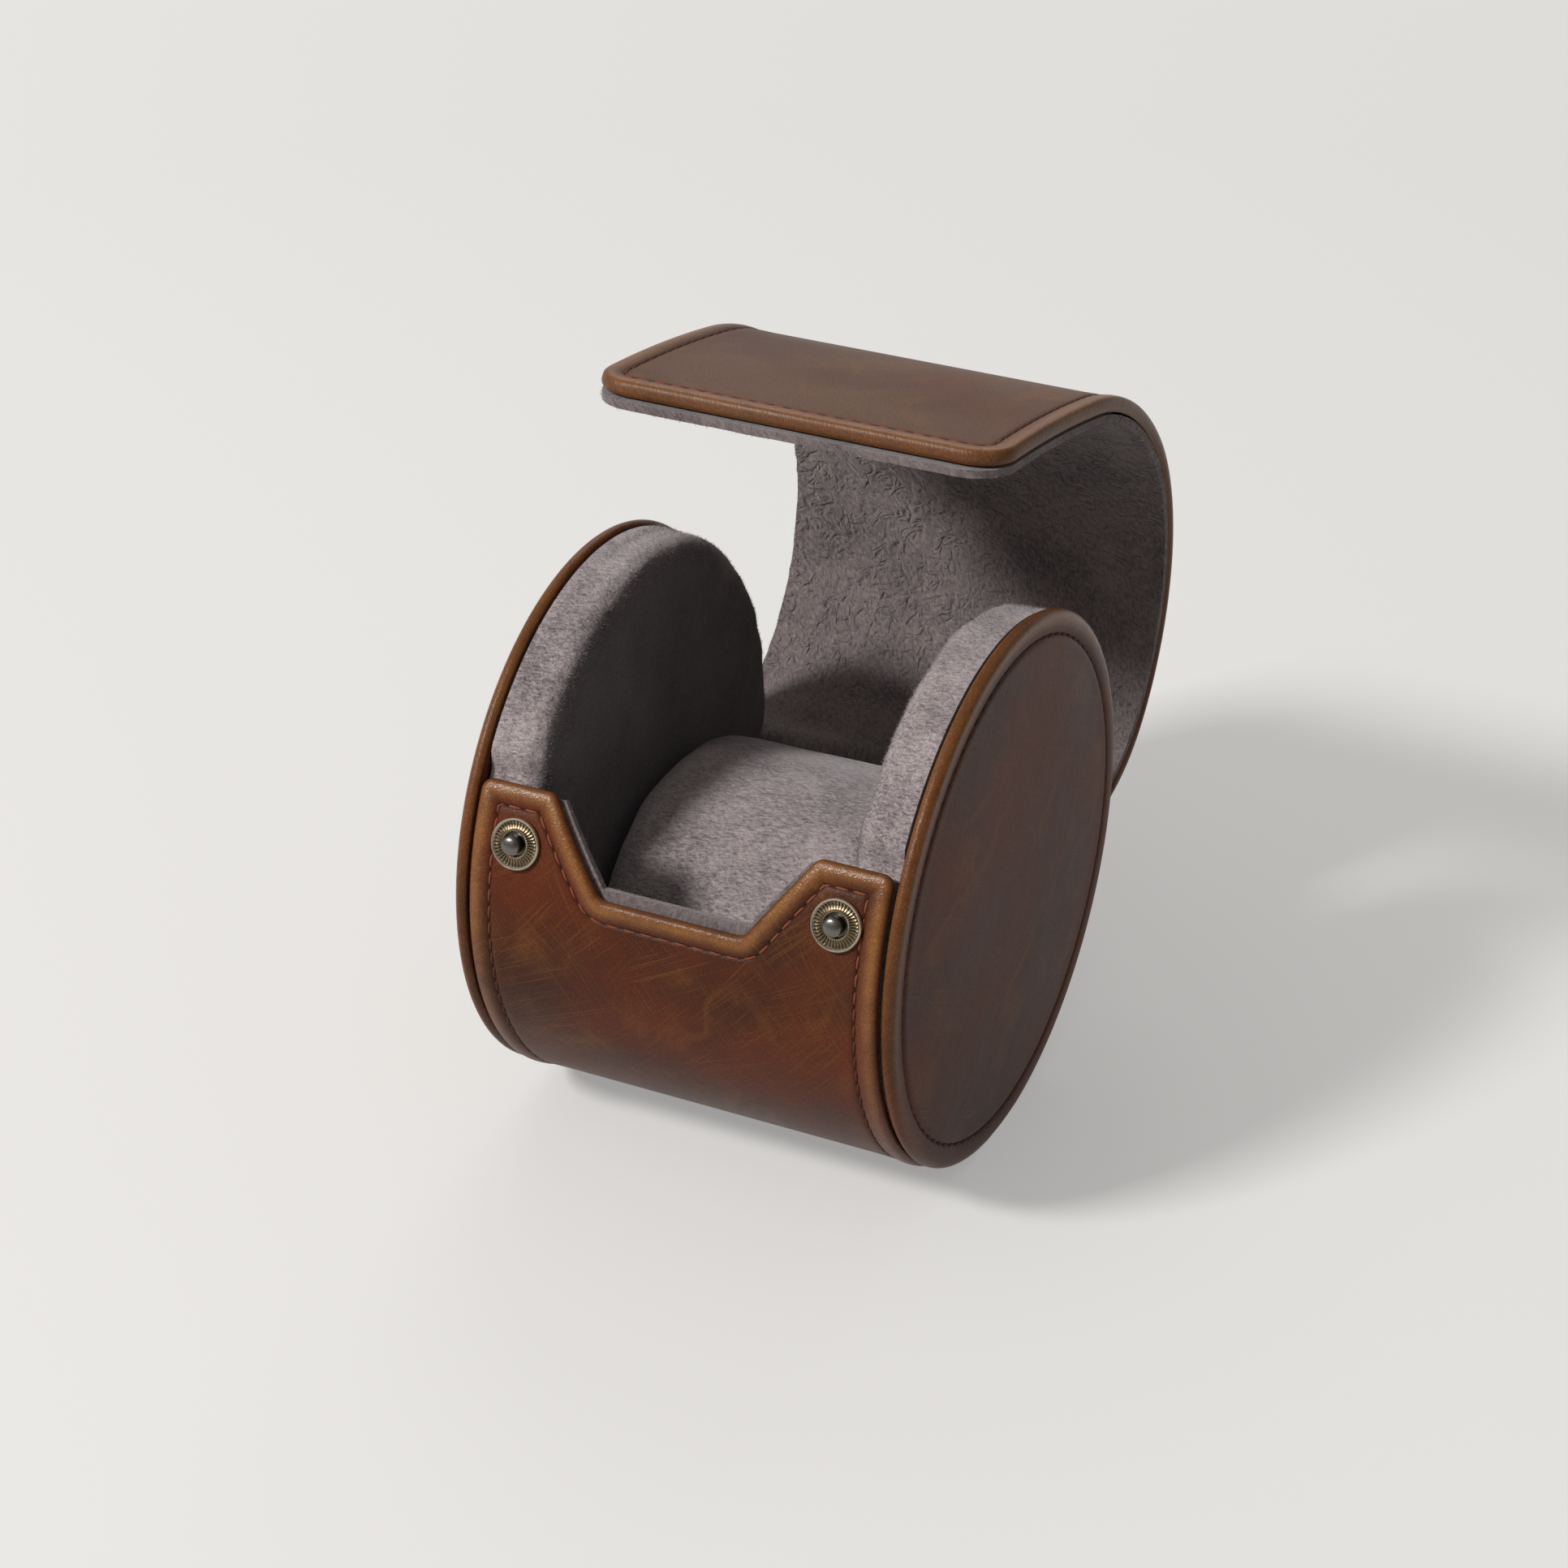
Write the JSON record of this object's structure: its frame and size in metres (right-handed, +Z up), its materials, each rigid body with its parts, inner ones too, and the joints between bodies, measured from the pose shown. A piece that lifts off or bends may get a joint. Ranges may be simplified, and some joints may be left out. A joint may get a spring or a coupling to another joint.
{
  "type": "watch roll",
  "caption": "Cylindrical leather watch roll with padded suede-lined ends, a cushion in the middle, a notched front wall with press studs, and a flap lid that stands open.",
  "frame": {"origin": "middle of the small flat that the drum rests on", "axes": "+X along the drum to its right end seen from the front, +Y to the back where the lid is joined, +Z up"},
  "size_m": [0.0834, 0.1349, 0.1312],
  "materials": {
    "leather": "pull-up leather, burnished lighter on its rolled edges",
    "lining": "grey-mauve suede, crinkled inside the lid",
    "suede": "grey-mauve suede with a brushed nap",
    "board": "fibre board, hidden",
    "nickel": "antique nickel"
  },
  "bodies": {
    "case": {"wrap_leather": "leather", "wrap_lining": "lining", "cushion": "suede", "left_disc_cover": "leather", "left_disc_board": "board", "left_pad_suede": "suede", "left_pad_core": "board", "left_snap_stud": "nickel", "left_stud_rivet": "nickel", "right_disc_cover": "leather", "right_disc_board": "board", "right_pad_suede": "suede", "right_pad_core": "board", "right_snap_stud": "nickel", "right_stud_rivet": "nickel"},
    "lid": {"lid_leather": "leather", "lid_board": "board", "lid_lining": "lining", "left_snap_socket": "nickel", "left_socket_spring": "nickel", "left_socket_rivet": "nickel", "right_snap_socket": "nickel", "right_socket_spring": "nickel", "right_socket_rivet": "nickel"}
  },
  "joints": [
    {"name": "lid_hinge", "type": "hinge", "parent": "case", "child": "lid", "pos_m": [0, 0.04788, 0.03718], "axis": [1, 0, 0], "range_deg": [-60, 36]}
  ]
}
